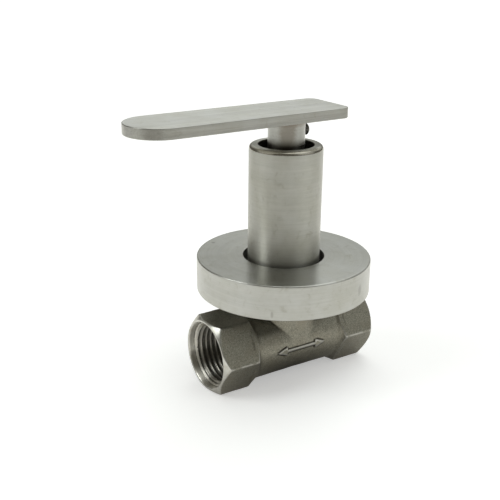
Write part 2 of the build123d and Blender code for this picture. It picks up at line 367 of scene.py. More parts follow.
def mark_edges(piece, reach=3, gain=6):
    """Stores the attribute edge: how convex each point is, from -1 in a crease to 1 on an edge."""
    mesh = piece.data
    count = len(mesh.vertices)
    points = np.empty(count * 3)
    mesh.vertices.foreach_get("co", points)
    points = points.reshape(-1, 3) / MM
    normals = np.empty(count * 3, np.float32)
    mesh.vertex_normals.foreach_get("vector", normals)
    normals = normals.reshape(-1, 3)
    pairs = np.empty(len(mesh.edges) * 2, np.int32)
    mesh.edges.foreach_get("vertices", pairs)
    a, b = pairs.reshape(-1, 2).T
    near = np.bincount(a, minlength=count) + np.bincount(b, minlength=count)

    def mean_around(values):
        total = np.bincount(a, values[b], count) + np.bincount(b, values[a], count)
        return total / np.maximum(near, 1)

    around = np.stack([mean_around(points[:, i]) for i in range(3)], axis=1)
    height = ((points - around) * normals).sum(1)
    step = np.linalg.norm(points[a] - points[b], axis=1).mean()
    height /= step
    for _ in range(reach):
        height = (height + mean_around(height)) / 2
    edge = mesh.attributes.new("edge", "FLOAT", "POINT")
    edge.data.foreach_set("value", np.clip(height * gain, -1, 1).astype(np.float32))


# ---- valve body ------------------------------------------------------------------------------

def hexagon(y, z, flats, blend):
    """Distance to a hexagon with two corners on the Y axis."""
    nearest = np.abs(z) + 0 * y
    for degrees in (30, 150):
        angle = math.radians(degrees)
        side = np.abs(y * math.cos(angle) + z * math.sin(angle))
        nearest = soft_max(nearest, side, blend)
    return nearest - flats / 2


def cone(across, radius, first, second):
    """Distance outside the cone through two (position, radius) points, negative near its axis."""
    run = second[0] - first[0]
    drop = second[1] - first[1]
    length = math.hypot(run, drop)
    return ((radius - first[1]) * run - (across - first[0]) * drop) / length


def body_outside(x, y, z):
    """The casting without its bores, about the pipe's axis."""
    across = np.abs(x)
    r = np.hypot(y, z)
    growth = (barrel_end_r - barrel_waist_r) * (x / barrel_end) ** 2
    barrel_gap = r - barrel_waist_r - growth
    barrel = np.maximum(barrel_gap, across - barrel_end - barrel_overlap)
    neck_top = tube_low[2] - pipe_z
    post = np.hypot(x, y)
    neck = np.maximum(np.maximum(post - neck_r, -z), z - neck_top)
    cast = soft_min(barrel, neck, neck_fillet)
    mark = np.maximum(arrow(x, z), barrel_gap - mark_height)
    cast = soft_min(cast, np.maximum(mark, y), mark_fillet)
    shoulder = cone(across, r, (barrel_end, barrel_end_r), (hub_back, hex_corner_r))
    hub = soft_max(hexagon(y, z, hex_flats, hex_corner_round), shoulder, shoulder_round)
    cast = soft_min(cast, hub, hub_fillet)
    seam = parting_height * np.exp(-(y / parting_half) ** 2) * (r > parting_inner_r)
    cast = cast - seam - swell_height * waves(x, y, z, swell_size, 11)
    cast = cast - ripple_height * waves(x, y, z, ripple_size, 12)
    front = cone(across, r, (hub_corner_start, hex_corner_r), (port_end, hub_face_r))
    cast = soft_max(cast, front, chamfer_round)
    cast = np.maximum(cast, across - port_end)
    spigot = np.maximum(np.maximum(post - spigot_r, -z), z - (body_high[2] - pipe_z))
    groove = np.abs(z - (neck_groove_z - pipe_z)) - neck_groove_half
    groove = np.maximum(groove, spigot_r - neck_groove_depth - post)
    return np.minimum(cast, np.maximum(spigot, -groove))


def arrow(x, z):
    """Distance to a double-ended arrow along X."""
    across, up = np.abs(x), np.abs(z)
    slope = math.atan2(mark_head_half, mark_head_length)
    head = (across - mark_half_length) * math.sin(slope) + up * math.cos(slope)
    head = np.maximum(head, mark_half_length - mark_head_length - across)
    shaft = np.maximum(up - mark_shaft_half, across - mark_half_length + mark_shaft_gap)
    return np.minimum(head, shaft)


def thread_radius(along, angle, pitch, minor, major, half_angle=27.5):
    """Radius of a V thread with rounded crests and roots."""
    phase = np.mod(along / pitch - angle / (2 * math.pi), 1.0)
    flank = pitch / 2 / math.tan(math.radians(half_angle))
    spare = (flank - (major - minor)) / 2
    height = np.abs(2 * phase - 1) * flank - spare
    height = soft_max(height, 0.0, thread_round)
    return minor + soft_min(height, major - minor, thread_round)


def port_void(x, y, z):
    """What the mouths, threads and passages take away."""
    across = np.abs(x)
    r = np.hypot(y, z)
    passage = r - passage_r
    funnel = cone(across, r, (cone_end, passage_r), (thread_end, cone_large_r))
    funnel = np.maximum(funnel, np.maximum(cone_end - across, across - thread_end))
    wall = thread_radius(x, np.arctan2(z, y), thread_pitch, thread_minor_r, thread_major_r)
    thread = np.maximum((r - wall) * flank_share, thread_end - across)
    small, large = thread_minor_r - lead_overlap, thread_major_r + lead_overlap
    lead = cone(across, r, (lead_end, small), (lead_start, large))
    lead = np.maximum(lead, np.maximum(lead_end - across, across - lead_start))
    mouth = np.maximum(r - mouth_r, lead_start - across)
    rim_start = port_end - mouth_chamfer
    rim = cone(across, r, (rim_start, mouth_r), (port_end, mouth_r + mouth_chamfer))
    rim = np.maximum(rim, rim_start - across)
    void = np.minimum(passage, funnel)
    void = np.minimum(void, soft_min(thread, lead, lead_round))
    mouth = soft_min(mouth, rim, mouth_round)
    return np.minimum(void, soft_min(mouth, lead, mouth_step_round))


def stem_void(x, y, z):
    """The plug's chamber and the bonnet's bore above it."""
    post = np.hypot(x, y)
    height = z + pipe_z
    chamber = np.maximum(chamber_floor_z - height, height - bonnet_thread_z)
    chamber = np.maximum(chamber, post - chamber_r)
    bore = np.maximum(post - bonnet_thread_r, bonnet_thread_z - height)
    return np.minimum(chamber, bore)


def body_distance(x, y, z):
    """The finished casting, about the pipe's axis."""
    void = np.minimum(port_void(x, y, z), stem_void(x, y, z))
    return soft_max(body_outside(x, y, z), -void, bore_round)


def build_body():
    margin = 0.5
    cell = 0.28
    shift = np.array([0, 0, pipe_z])
    low, high = body_low - shift - margin, body_high - shift + margin
    points, faces = contour(body_distance, low, high, cell)
    points = np.clip(points + shift, body_low, body_high)
    return make_piece("valve_casting", points, faces, "valve", "valve_body")


# ---- turned pieces ---------------------------------------------------------------------------

def build_tube():
    radius = tube_high[0]
    corners = [
        (spigot_r + tube_gap, tube_low[2], 0.2),
        (radius, tube_low[2], 0.3),
        (radius, tube_high[2], tube_edge_r),
        (tube_bore_r, tube_high[2], 0.3),
        (tube_bore_r, tube_shoulder_z, 0.1),
        (spigot_r + tube_gap, tube_shoulder_z, 0.1),
    ]
    points, faces = turned(rounded(corners, arc_steps=10), steps=224)
    return make_piece("tube_sleeve", points, faces, "valve", "cover_tube")


def build_disc():
    top, radius = disc_high[2], disc_high[0]
    plate_low = top - disc_plate
    groove_low, groove_high = disc_groove_z - disc_groove_half, disc_groove_z + disc_groove_half
    corners = [
        (disc_hole_r, disc_boss_z, 0.2),
        (disc_boss_r, disc_boss_z, 0.3),
        (disc_boss_r, plate_low, 0.8),
        (radius - disc_wall, plate_low, 0.8),
        (radius - disc_wall, gasket_high[2], 0.1),
        (gasket_high[0] + gasket_gap, gasket_high[2], 0.1),
        (gasket_high[0] + gasket_gap, disc_low[2], 0.1),
        (radius, disc_low[2], 0.35),
        (radius, top, disc_edge_r),
        (disc_hole_r, top, 0.3),
        (disc_hole_r, groove_high, 0.1),
        (disc_groove_r, groove_high, 0.1),
        (disc_groove_r, groove_low, 0.1),
        (disc_hole_r, groove_low, 0.1),
    ]
    points, faces = turned(rounded(corners, arc_steps=8), steps=320)
    return make_piece("wall_disc", points, faces, "wall_plate", "escutcheon")


def build_gasket():
    corners = [
        (gasket_inner_r, gasket_low[2], 0.3),
        (gasket_high[0], gasket_low[2], 0.3),
        (gasket_high[0], gasket_high[2], 0.3),
        (gasket_inner_r, gasket_high[2], 0.3),
    ]
    points, faces = turned(rounded(corners, arc_steps=5, longest=0.8), steps=224)
    return make_piece("disc_gasket", points, faces, "wall_plate", "escutcheon_gasket")


# ---- lever, its hub and the set screw --------------------------------------------------------

def lever_outline(inset):
    """(x, half width) stations from the nose's tip to the tail, drawn in by inset."""
    half = lever_high[1]
    nose = lever_low[0]
    tail = lever_high[0]
    nose_r = half - inset
    stations = []
    nose_steps = 40
    for k in range(nose_steps + 1):
        angle = math.pi / 2 * k / nose_steps
        stations.append((nose + half - nose_r * math.cos(angle), nose_r * math.sin(angle)))
    straight = 26
    for k in range(1, straight):
        share = k / straight
        stations.append((nose + half + (tail - lever_tail_r - nose - half) * share, nose_r))
    tail_steps = 12
    tail_r = lever_tail_r - inset
    for k in range(tail_steps + 1):
        angle = math.pi / 2 * k / tail_steps
        stations.append((
            tail - lever_tail_r + tail_r * math.sin(angle),
            half - lever_tail_r + tail_r * math.cos(angle),
        ))
    return stations


def build_lever():
    """The flat bar, in levels from its underside to its top, each a closed loop of points."""
    low_z, high_z = lever_low[2], lever_high[2]
    edge_steps = 5
    edge = []
    for k in range(edge_steps + 1):
        angle = math.pi / 2 * k / edge_steps
        edge.append((lever_edge_r * (1 - math.sin(angle)), lever_edge_r * (1 - math.cos(angle))))
    levels = [(inset, low_z + rise) for inset, rise in edge]
    levels += [(0.0, low_z + (high_z - low_z) * share) for share in (0.13, 0.3, 0.5, 0.7, 0.87)]
    levels += [(inset, high_z - rise) for inset, rise in reversed(edge)]
    across = 14
    points, faces, loops = [], [], []

    def add(places):
        """Adds points and gives their numbers."""
        points.extend(places)
        return list(range(len(points) - len(places), len(points)))

    for inset, z in levels:
        stations = lever_outline(inset)
        end_x, end_w = stations[-1]
        right = [(x, -w, z) for x, w in stations]
        end = [(end_x, end_w * (2 * k / across - 1), z) for k in range(1, across)]
        left = [(x, w, z) for x, w in reversed(stations[1:])]
        loops.append(add(right + end + left))
    count = len(loops[0])
    for lower, upper in zip(loops, loops[1:]):
        for i in range(count):
            j = (i + 1) % count
            faces.append((lower[i], lower[j], upper[j], upper[i]))
    stations = lever_outline(lever_edge_r)
    last = len(stations) - 1
    for loop, z, up in ((loops[0], low_z, False), (loops[-1], high_z, True)):
        rows = []
        for i in range(1, last):
            x, w = stations[i]
            inner = add([(x, w * (2 * k / across - 1), z) for k in range(1, across)])
            rows.append([loop[i], *inner, loop[-i]])
        rows.append(loop[last:last + across + 1])
        cap = [(loop[0], a, b) for a, b in zip(rows[0], rows[0][1:])]
        for row, following in zip(rows, rows[1:]):
            for k in range(across):
                cap.append((row[k], following[k], following[k + 1], row[k + 1]))
        faces += cap if up else [corners[::-1] for corners in cap]
    return make_piece("flat_lever", points, faces, "handle", "lever_bar")


def hub_distance(x, y, z):
    """The hub, with the weld's bead round its top and its tapped hole."""
    post = np.hypot(x, y)
    radius = hub_high[0]
    bar = soft_max(post - radius, hub_low[2] - z, hub_foot_round)
    bar = np.maximum(bar, z - hub_high[2])
    bead = np.hypot(post - radius, z - hub_high[2]) - weld_r
    bead = bead - weld_ripple * waves(x, y, z, weld_ripple_size, 21)
    bar = soft_min(bar, np.maximum(bead, z - hub_high[2]), weld_fillet)
    bore = np.maximum(post - hub_bore_r, z - hub_bore_top)
    tapped = np.maximum(np.hypot(y, z - screw_z) - screw_major_r - screw_gap, -x)
    return soft_max(bar, -np.minimum(bore, tapped), hub_edge_round)


def build_hub():
    margin = 1.0
    cell = 0.2
    points, faces = contour(hub_distance, hub_low - margin, hub_high + margin, cell)
    points[:, 2] = np.clip(points[:, 2], hub_low[2], hub_high[2])
    return make_piece("lever_boss", points, faces, "handle", "lever_hub")


def screw_distance(x, y, z):
    """The set screw, with its thread, chamfered ends and hexagon socket."""
    up = z - screw_z
    r = np.hypot(y, up)
    start, end = screw_low[0], screw_high[0]
    angle = np.arctan2(up, y)
    wall = thread_radius(x, angle, screw_pitch, screw_minor_r, screw_major_r, half_angle=30)
    bar = (r - wall) * flank_share
    head_r, tip_r = screw_major_r - screw_chamfer, screw_major_r - screw_tip_chamfer
    head = cone(x, r, (end - screw_chamfer, screw_major_r), (end, head_r))
    tip = cone(x, r, (start, tip_r), (start + screw_tip_chamfer, screw_major_r))
    bar = soft_max(bar, np.maximum(head, tip), screw_chamfer_round)
    bar = soft_max(bar, np.maximum(start - x, x - end), screw_end_round)
    socket = hexagon(up, y, screw_socket_flats, screw_socket_corner_round)
    socket = np.maximum(socket, end - screw_socket_depth - x)
    return soft_max(bar, -socket, screw_socket_edge_round)


def build_screw():
    margin = 0.31
    cell = 0.09
    points, faces = contour(screw_distance, screw_low - margin, screw_high + margin, cell)
    points = np.clip(points, screw_low, screw_high)
    return make_piece("grub_screw", points, faces, "handle", "set_screw")


# ---- materials -------------------------------------------------------------------------------

class Look:
    """A procedural material around one Principled shader."""

    def __init__(self, name, color, metallic, roughness):
        self.material = bpy.data.materials.new(name)
        self.material.use_nodes = True
        self.tree = self.material.node_tree
        self.shader = self.tree.nodes["Principled BSDF"]
        self.shader.inputs["Base Color"].default_value = (*color, 1)
        self.shader.inputs["Metallic"].default_value = metallic
        self.shader.inputs["Roughness"].default_value = roughness
        here = self.tree.nodes.new("ShaderNodeTexCoord")
        self.place = here.outputs["Object"]
        self.normal = here.outputs["Normal"]

    def feed(self, sockets, values):
        """Puts numbers, colours or other nodes' outputs into sockets."""
        for socket, value in zip(sockets, values):
            if isinstance(value, tuple):
                socket.default_value = (*value, 1)
            elif isinstance(value, (int, float)):
                socket.default_value = value
            else:
                self.tree.links.new(value, socket)

    def math(self, operation, a, b=0.0, c=0.0):
        node = self.tree.nodes.new("ShaderNodeMath")
        node.operation = operation
        self.feed(node.inputs, (a, b, c))
        return node.outputs[0]

    def plus(self, a, b):
        return self.math("ADD", a, b)

    def times(self, a, b):
        return self.math("MULTIPLY", a, b)

    def radius(self):
        """Distance from the Z axis."""
        x, y, _ = self.xyz()
        return self.math("SQRT", self.plus(self.times(x, x), self.times(y, y)))

    def xyz(self, source=None):
        node = self.tree.nodes.new("ShaderNodeSeparateXYZ")
        self.tree.links.new(source or self.place, node.inputs[0])
        return node.outputs

    def joined(self, x, y, z):
        node = self.tree.nodes.new("ShaderNodeCombineXYZ")
        self.feed(node.inputs, (x, y, z))
        return node.outputs[0]

    def scaled(self, x, y, z, source=None):
        node = self.tree.nodes.new("ShaderNodeMapping")
        node.inputs["Scale"].default_value = (x, y, z)
        self.tree.links.new(source or self.place, node.inputs["Vector"])
        return node.outputs[0]

    def noise(self, vector, scale, detail=4.0, rough=0.55, distortion=0.0):
        node = self.tree.nodes.new("ShaderNodeTexNoise")
        node.inputs["Scale"].default_value = scale
        node.inputs["Detail"].default_value = detail
        node.inputs["Roughness"].default_value = rough
        node.inputs["Distortion"].default_value = distortion
        self.tree.links.new(vector, node.inputs["Vector"])
        return node.outputs["Fac"]

    def mapped(self, value, low, high, to_low, to_high):
        """A value's place between low and high, carried over to between two others."""
        node = self.tree.nodes.new("ShaderNodeMapRange")
        for socket, number in zip(node.inputs[1:5], (low, high, to_low, to_high)):
            socket.default_value = number
        self.tree.links.new(value, node.inputs[0])
        return node.outputs[0]

    def mix(self, share, first, second, blend="MIX"):
        """A colour between two others."""
        node = self.tree.nodes.new("ShaderNodeMix")
        node.data_type = "RGBA"
        node.blend_type = blend
        self.feed((node.inputs[0], node.inputs[6], node.inputs[7]), (share, first, second))
        return node.outputs[2]

    def mix_value(self, share, first, second):
        """A number between two others."""
        node = self.tree.nodes.new("ShaderNodeMix")
        self.feed((node.inputs[0], node.inputs[2], node.inputs[3]), (share, first, second))
        return node.outputs[0]

    def bump(self, height, distance):
        node = self.tree.nodes.new("ShaderNodeBump")
        node.inputs["Distance"].default_value = distance
        self.tree.links.new(height, node.inputs["Height"])
        return node.outputs[0]

    def attribute(self, name):
        node = self.tree.nodes.new("ShaderNodeAttribute")
        node.attribute_name = name
        return node.outputs["Fac"]

    def spot(self, centre, size, ragged=0.5):
        """1 at a centre in millimetres, falling to 0 over a size, with a ragged rim."""
        node = self.tree.nodes.new("ShaderNodeVectorMath")
        node.operation = "SUBTRACT"
        self.tree.links.new(self.place, node.inputs[0])
        node.inputs[1].default_value = Vector(centre) * MM
        shrunk = self.scaled(*[1 / (s * MM) for s in size], source=node.outputs[0])
        length = self.tree.nodes.new("ShaderNodeVectorMath")
        length.operation = "LENGTH"
        self.tree.links.new(shrunk, length.inputs[0])
        speck = self.noise(self.place, 1500.0, 3.0, 0.6)
        rim = self.math("MULTIPLY_ADD", speck, ragged, -ragged / 2)
        return self.mapped(self.plus(length.outputs["Value"], rim), 0.5, 1.0, 1.0, 0.0)

    def set(self, socket, value):
        self.tree.links.new(value, self.shader.inputs[socket])


STEEL = (0.46, 0.462, 0.44)
TUBE_STEEL = (0.465, 0.464, 0.430)
# polished rim steel, painted a darker brown as reflection
RIM_STEEL_PAINTED_REFLECTION = (0.42, 0.40, 0.35)
LEVER_STEEL = (0.53, 0.53, 0.51)
# painted shade: a darker copy of the lever's steel for its sides
LEVER_SIDE_SHADE_STEEL = (0.36, 0.358, 0.338)
CAST = (0.262, 0.252, 0.208)
CAST_BROWN = (0.25, 0.225, 0.175)
# painted shade for the casting's creases
CAST_CREASE_SHADE = (0.05, 0.045, 0.035)
CAST_WORN = (0.43, 0.42, 0.385)
HUB_DARK = (0.375, 0.375, 0.350)
HUB_LIGHT = (0.44, 0.44, 0.418)
HEAT_TINT = (0.20, 0.155, 0.105)
SPATTER = (0.16, 0.125, 0.085)
# painted shade towards the hub's lower end
HUB_LOW_SHADE = (0.10, 0.09, 0.07)
# dark colour of the marks, and of painted reflections
GRIME_AND_PAINTED_REFLECTION = (0.10, 0.09, 0.075)
DULLED = (0.86, 0.85, 0.80)    # both are shares of the colour under them
STAINED = (0.82, 0.80, 0.74)

STROKES = 2600.0               # brush strokes to a metre, across them
STROKE_LENGTHS = 60.0          # and along them
AXIS_CLEAR = 0.5 * MM          # keeps the strokes round an axis from dividing by nothing


# Marks: centre and size in mm, and darkness. A dark spot on the disc's top, a scratch and a smudge
# on its side; a painted dark reflection on the side of the lever's nose; a painted dark brown
# reflection on the hub's side facing the camera, under the weld.
DISC_MARKS = (
    ((-14.3, 21.9, 11.5), (0.9, 0.9, 0.9), 0.45),
    ((-19.3, -21.7, 2.0), (0.55, 0.55, 1.4), 0.3),
    ((11.0, -26.8, 5.5), (1.3, 1.3, 2.2), 0.3),
)
NOSE_PAINTED_REFLECTION = (((-51.6, -8.4, 59.0), (3.3, 3.3, 9.0), 0.3),)
HUB_PAINTED_REFLECTION = ((-3.2, -5.1, 55.5), (3.5, 3.5, 14.0), 0.5)


def stroke_coordinates(look, kind):
    """Coordinates that change fast across the brush strokes and slowly along them."""
    if kind == "lengthwise":
        return look.scaled(STROKE_LENGTHS, STROKES, STROKES)
    if kind == "around the pipe":
        return look.scaled(STROKES, STROKE_LENGTHS, STROKE_LENGTHS)
    x, y, z = look.xyz()
    radius = look.radius()
    safe = look.math("MAXIMUM", radius, AXIS_CLEAR)
    lengths = 1.2 if kind == "around" else 2.0
    turn_x = look.times(look.math("DIVIDE", x, safe), lengths)
    turn_y = look.times(look.math("DIVIDE", y, safe), lengths)
    return look.joined(turn_x, turn_y, look.times(look.plus(radius, z), STROKES))


def brushed_steel(name, base, kind, roughness, anisotropy, stroke_depth, contrast, marks=()):
    """Brushed steel with cloudy handling marks. marks are (centre, size, darkness) spots in mm."""
    look = Look(name, base, 1.0, roughness)
    strokes = stroke_coordinates(look, kind)
    fine = look.noise(strokes, 1.0, 6.0, 0.65)
    wide = look.noise(strokes, 0.28, 3.0, 0.6)
    cloud = look.noise(look.place, 110.0, 5.0, 0.62)
    smudge = look.noise(look.place, 420.0, 4.0, 0.6, 0.8)
    broad = look.noise(strokes, 0.11, 2.0, 0.5)
    tone = look.plus(look.times(fine, 0.4), look.times(wide, 0.35))
    tone = look.plus(tone, look.times(broad, 0.25))
    bright = tuple(c * (1 + contrast) for c in base)
    dark = tuple(c * (1 - contrast) for c in base)
    color = look.mix(look.mapped(tone, 0.34, 0.66, 0.0, 1.0), dark, bright)
    dulled = look.mix(1.0, color, DULLED, "MULTIPLY")
    color = look.mix(look.mapped(cloud, 0.35, 0.7, 0.0, 0.8), color, dulled)
    stained = look.mix(1.0, color, STAINED, "MULTIPLY")
    color = look.mix(look.mapped(smudge, 0.58, 0.75, 0.0, 0.7), color, stained)
    rough = look.mapped(tone, 0.3, 0.7, roughness - 0.05, roughness + 0.05)
    rough = look.plus(rough, look.mapped(smudge, 0.5, 0.75, 0.0, 0.06))
    # Spots darken towards a dark colour: marks on the disc, and a painted reflection on the
    # lever's nose.
    for centre, size, darkness in marks:
        color = look.mix(look.times(look.spot(centre, size), darkness), color, GRIME_AND_PAINTED_REFLECTION)
    look.set("Base Color", color)
    look.set("Roughness", rough)
    look.set("Normal", look.bump(tone, stroke_depth * MM))
    brush_direction(look, kind, anisotropy)
    return look.material


def brush_direction(look, kind, anisotropy):
    """Spreads reflections across the brush strokes."""
    if kind == "lengthwise":
        look.shader.inputs["Anisotropic Rotation"].default_value = 0.0
        flat = look.math("GREATER_THAN", look.math("ABSOLUTE", look.xyz(look.normal)[2]), 0.7)
        sideways = look.mix(flat, (0.0, 0.0, 1.0), (0.0, 1.0, 0.0))
        tangent = look.tree.nodes.new("ShaderNodeVectorTransform")
        tangent.vector_type = "VECTOR"
        tangent.convert_from = "OBJECT"
        tangent.convert_to = "WORLD"
        look.tree.links.new(sideways, tangent.inputs[0])
    else:
        look.shader.inputs["Anisotropic Rotation"].default_value = 0.25
        tangent = look.tree.nodes.new("ShaderNodeTangent")
        tangent.direction_type = "RADIAL"
        tangent.axis = "X" if kind == "around the pipe" else "Z"
    look.tree.links.new(tangent.outputs[0], look.shader.inputs["Tangent"])
    look.shader.inputs["Anisotropic"].default_value = anisotropy


def cast_steel():
    """Blasted stainless casting: a fine dull grain, brighter on worn edges, with painted shade
    darkening its creases.
    """
    look = Look("cast_stainless_steel", CAST, 1.0, 0.42)
    grain = look.noise(look.place, 5200.0, 3.0, 0.65)
    pits = look.noise(look.place, 2200.0, 4.0, 0.65)
    cloud = look.noise(look.place, 190.0, 4.0, 0.6, 0.4)
    tone = look.plus(look.times(grain, 0.55), look.times(pits, 0.45))
    dark = tuple(c * 0.45 for c in CAST)
    light = tuple(c * 1.6 for c in CAST)
    shade = look.mix(look.mapped(tone, 0.36, 0.64, 0.0, 1.0), dark, light)
    shade = look.mix(look.mapped(cloud, 0.45, 0.75, 0.0, 0.6), shade, CAST_BROWN)
    edge = look.attribute("edge")
    ragged = look.math("MULTIPLY_ADD", tone, 0.5, -0.25)
    worn = look.mapped(look.plus(edge, ragged), 0.15, 0.55, 0.0, 1.0)
    # Painted shade: the creases are darkened towards a near-black colour.
    painted_crease_shade = look.mapped(edge, -0.55, -0.08, 0.9, 0.0)
    shade = look.mix(painted_crease_shade, shade, CAST_CREASE_SHADE)
    shade = look.mix(worn, shade, CAST_WORN)
    look.set("Base Color", shade)
    rough = look.mapped(tone, 0.3, 0.7, 0.36, 0.5)
    look.set("Roughness", look.mix_value(worn, rough, 0.3))
    look.set("Normal", look.bump(tone, 0.03 * MM))
    return look.material


def machined_steel(name, color, roughness, stain_strength=0.7, anisotropy=0.8, ring_depth=0.006):
    """Steel turned about the pipe's axis, with faint tool rings, stains and painted shade in its
    creases.
    """
    look = Look(name, color, 1.0, roughness)
    marks = look.noise(stroke_coordinates(look, "around the pipe"), 1.0, 4.0, 0.6)
    stain = look.noise(look.place, 500.0, 4.0, 0.6, 0.3)
    stained = tuple(c * k for c, k in zip(color, (0.70, 0.67, 0.60)))
    shade = look.mix(look.mapped(stain, 0.4, 0.7, 0.0, stain_strength), color, stained)
    edge = look.attribute("edge")
    # Painted shade: the creases are darkened to a fifth of the colour.
    painted_crease_shade = look.mapped(edge, -0.8, -0.2, 0.7, 0.0)
    shade = look.mix(painted_crease_shade, shade, tuple(c * 0.2 for c in color))
    look.set("Base Color", shade)
    look.set("Roughness", look.mapped(marks, 0.3, 0.7, roughness - 0.06, roughness + 0.08))
    look.set("Normal", look.bump(marks, ring_depth * MM))
    brush_direction(look, "around the pipe", anisotropy)
    return look.material


def turned_steel(name, color=STEEL, roughness=0.28):
    """Plain steel turned about the Z axis."""
    look = Look(name, color, 1.0, roughness)
    strokes = stroke_coordinates(look, "around")
    marks = look.noise(strokes, 0.6, 4.0, 0.6)
    cloud = look.noise(look.place, 300.0, 3.0, 0.6)
    dark = tuple(c * 0.85 for c in color)
    look.set("Base Color", look.mix(look.mapped(cloud, 0.35, 0.7, 0.0, 1.0), color, dark))
    look.set("Roughness", look.mapped(marks, 0.3, 0.7, roughness - 0.05, roughness + 0.1))
    look.set("Normal", look.bump(marks, 0.004 * MM))
    return look.material


def hub_steel():
    """Turned steel with the brown heat tint and spatter of a weld just under the lever, a painted
    reflection facing the camera and painted shade low down.
    """
    look = Look("hub_steel", STEEL, 1.0, 0.3)
    marks = look.noise(stroke_coordinates(look, "around"), 0.6, 5.0, 0.6)
    z = look.xyz()[2]
    ragged = look.noise(look.place, 700.0, 4.0, 0.6, 0.5)
    depth = look.math("DIVIDE", look.math("SUBTRACT", hub_high[2] * MM, z), tint_depth * MM)
    edge = look.plus(depth, look.math("SUBTRACT", ragged, 0.5))
    tint = look.mapped(edge, 0.1, 1.0, 0.8, 0.0)
    spatter = look.mapped(look.noise(look.place, 1500.0, 3.0, 0.7), 0.58, 0.7, 0.0, 0.45)
    runs = look.noise(look.scaled(260.0, 260.0, 60.0), 1.0, 4.0, 0.6)
    spatter = look.times(spatter, look.mapped(runs, 0.5, 0.62, 0.0, 1.0))
    color = look.mix(look.mapped(marks, 0.3, 0.7, 0.0, 1.0), HUB_DARK, HUB_LIGHT)
    color = look.mix(spatter, color, SPATTER)
    # Painted reflection: a dark brown streak on the hub's side facing the camera.
    centre, size, darkness = HUB_PAINTED_REFLECTION
    painted_reflection_spot = look.times(look.spot(centre, size, ragged=0.6), darkness)
    color = look.mix(painted_reflection_spot, color, SPATTER)
    # Painted shade: darker towards the hub's lower end.
    painted_low_shade = look.mapped(z, hub_shade_full_z * MM, hub_shade_end_z * MM, 0.75, 0.0)
    color = look.mix(painted_low_shade, color, HUB_LOW_SHADE)
    look.set("Base Color", look.mix(tint, color, HEAT_TINT))
    look.set("Roughness", look.mapped(marks, 0.3, 0.7, 0.27, 0.33))
    look.set("Normal", look.bump(marks, 0.003 * MM))
    brush_direction(look, "around", 0.93)
    return look.material


def plain_solid(name, color, roughness, grain_size):
    """Moulded plastic or rubber with a fine grain."""
    look = Look(name, color, 0.0, roughness)
    grain = look.noise(look.place, 1 / (grain_size * MM), 4.0, 0.6)
    cloud = look.noise(look.place, 200.0, 3.0, 0.6)
    lighter = tuple(min(1.0, c * 1.15 + 0.004) for c in color)
    look.set("Base Color", look.mix(look.mapped(cloud, 0.35, 0.7, 0.0, 1.0), color, lighter))
    look.set("Roughness", look.mapped(grain, 0.3, 0.7, roughness - 0.08, roughness + 0.08))
    look.set("Normal", look.bump(grain, 0.01 * MM))
    return look.material


def wear(piece, *materials):
    """Gives a piece its materials, in the order of their slots."""
    piece.data.materials.clear()
    for material in materials:
        piece.data.materials.append(material)


# ---- the object ------------------------------------------------------------------------------

casting = build_body()
tube = build_tube()
disc = build_disc()
gasket = build_gasket()
lever = build_lever()
hub = build_hub()
screw = build_screw()

rubber = plain_solid("black_rubber", (0.018, 0.018, 0.018), roughness=0.55, grain_size=0.15)
ptfe = plain_solid("white_ptfe", (0.78, 0.78, 0.75), roughness=0.42, grain_size=0.25)
nylon = plain_solid("natural_nylon", (0.62, 0.60, 0.53), roughness=0.45, grain_size=0.3)
inner_steel = turned_steel("turned_stainless_steel")
spring = turned_steel("spring_steel", (0.35, 0.34, 0.33), roughness=0.3)

wear(
    casting,
    cast_steel(),
    machined_steel("port_machined_steel", (0.58, 0.575, 0.54), roughness=0.3),
    # Painted shade: the threads are a darker copy of the port's turned steel.
    machined_steel("thread_painted_shade_steel", (0.32, 0.31, 0.28), roughness=0.36, ring_depth=0.03),
    # Painted light: the mouths are a brighter copy of it.
    machined_steel(
        "mouth_painted_light_steel", (0.76, 0.74, 0.68), roughness=0.42,
        stain_strength=0.4, anisotropy=0.97, ring_depth=0.02,
    ),
)
wear(
    tube,
    brushed_steel(
        "tube_brushed_steel", TUBE_STEEL, "around", roughness=0.38,
        anisotropy=0.9, stroke_depth=0.003, contrast=0.11,
    ),
    # The rim is polished; its darker brown colour is a painted reflection.
    brushed_steel(
        "tube_rim_painted_reflection_steel", RIM_STEEL_PAINTED_REFLECTION, "around", roughness=0.2,
        anisotropy=0.3, stroke_depth=0.001, contrast=0.05,
    ),
    # Painted shade: the tube's bore is steel painted nearly black.
    turned_steel("tube_bore_painted_shade_steel", (0.12, 0.115, 0.10), roughness=0.45),
)
wear(
    disc,
    brushed_steel(
        "disc_brushed_steel", STEEL, "circles", roughness=0.32,
        anisotropy=0.6, stroke_depth=0.0015, contrast=0.11, marks=DISC_MARKS,
    ),
)
wear(
    lever,
    brushed_steel(
        "lever_brushed_steel", LEVER_STEEL, "lengthwise", roughness=0.36,
        anisotropy=0.9, stroke_depth=0.002, contrast=0.2,
    ),
    # The sides are a darker copy of the lever's steel: painted shade.
    brushed_steel(
        "lever_side_painted_shade_steel", LEVER_SIDE_SHADE_STEEL, "lengthwise", roughness=0.3,
        anisotropy=0.93, stroke_depth=0.002, contrast=0.25, marks=NOSE_PAINTED_REFLECTION,
    ),
)
wear(hub, hub_steel())
wear(screw, turned_steel("blackened_screw_steel", (0.24, 0.235, 0.22), roughness=0.25))
wear(gasket, rubber)

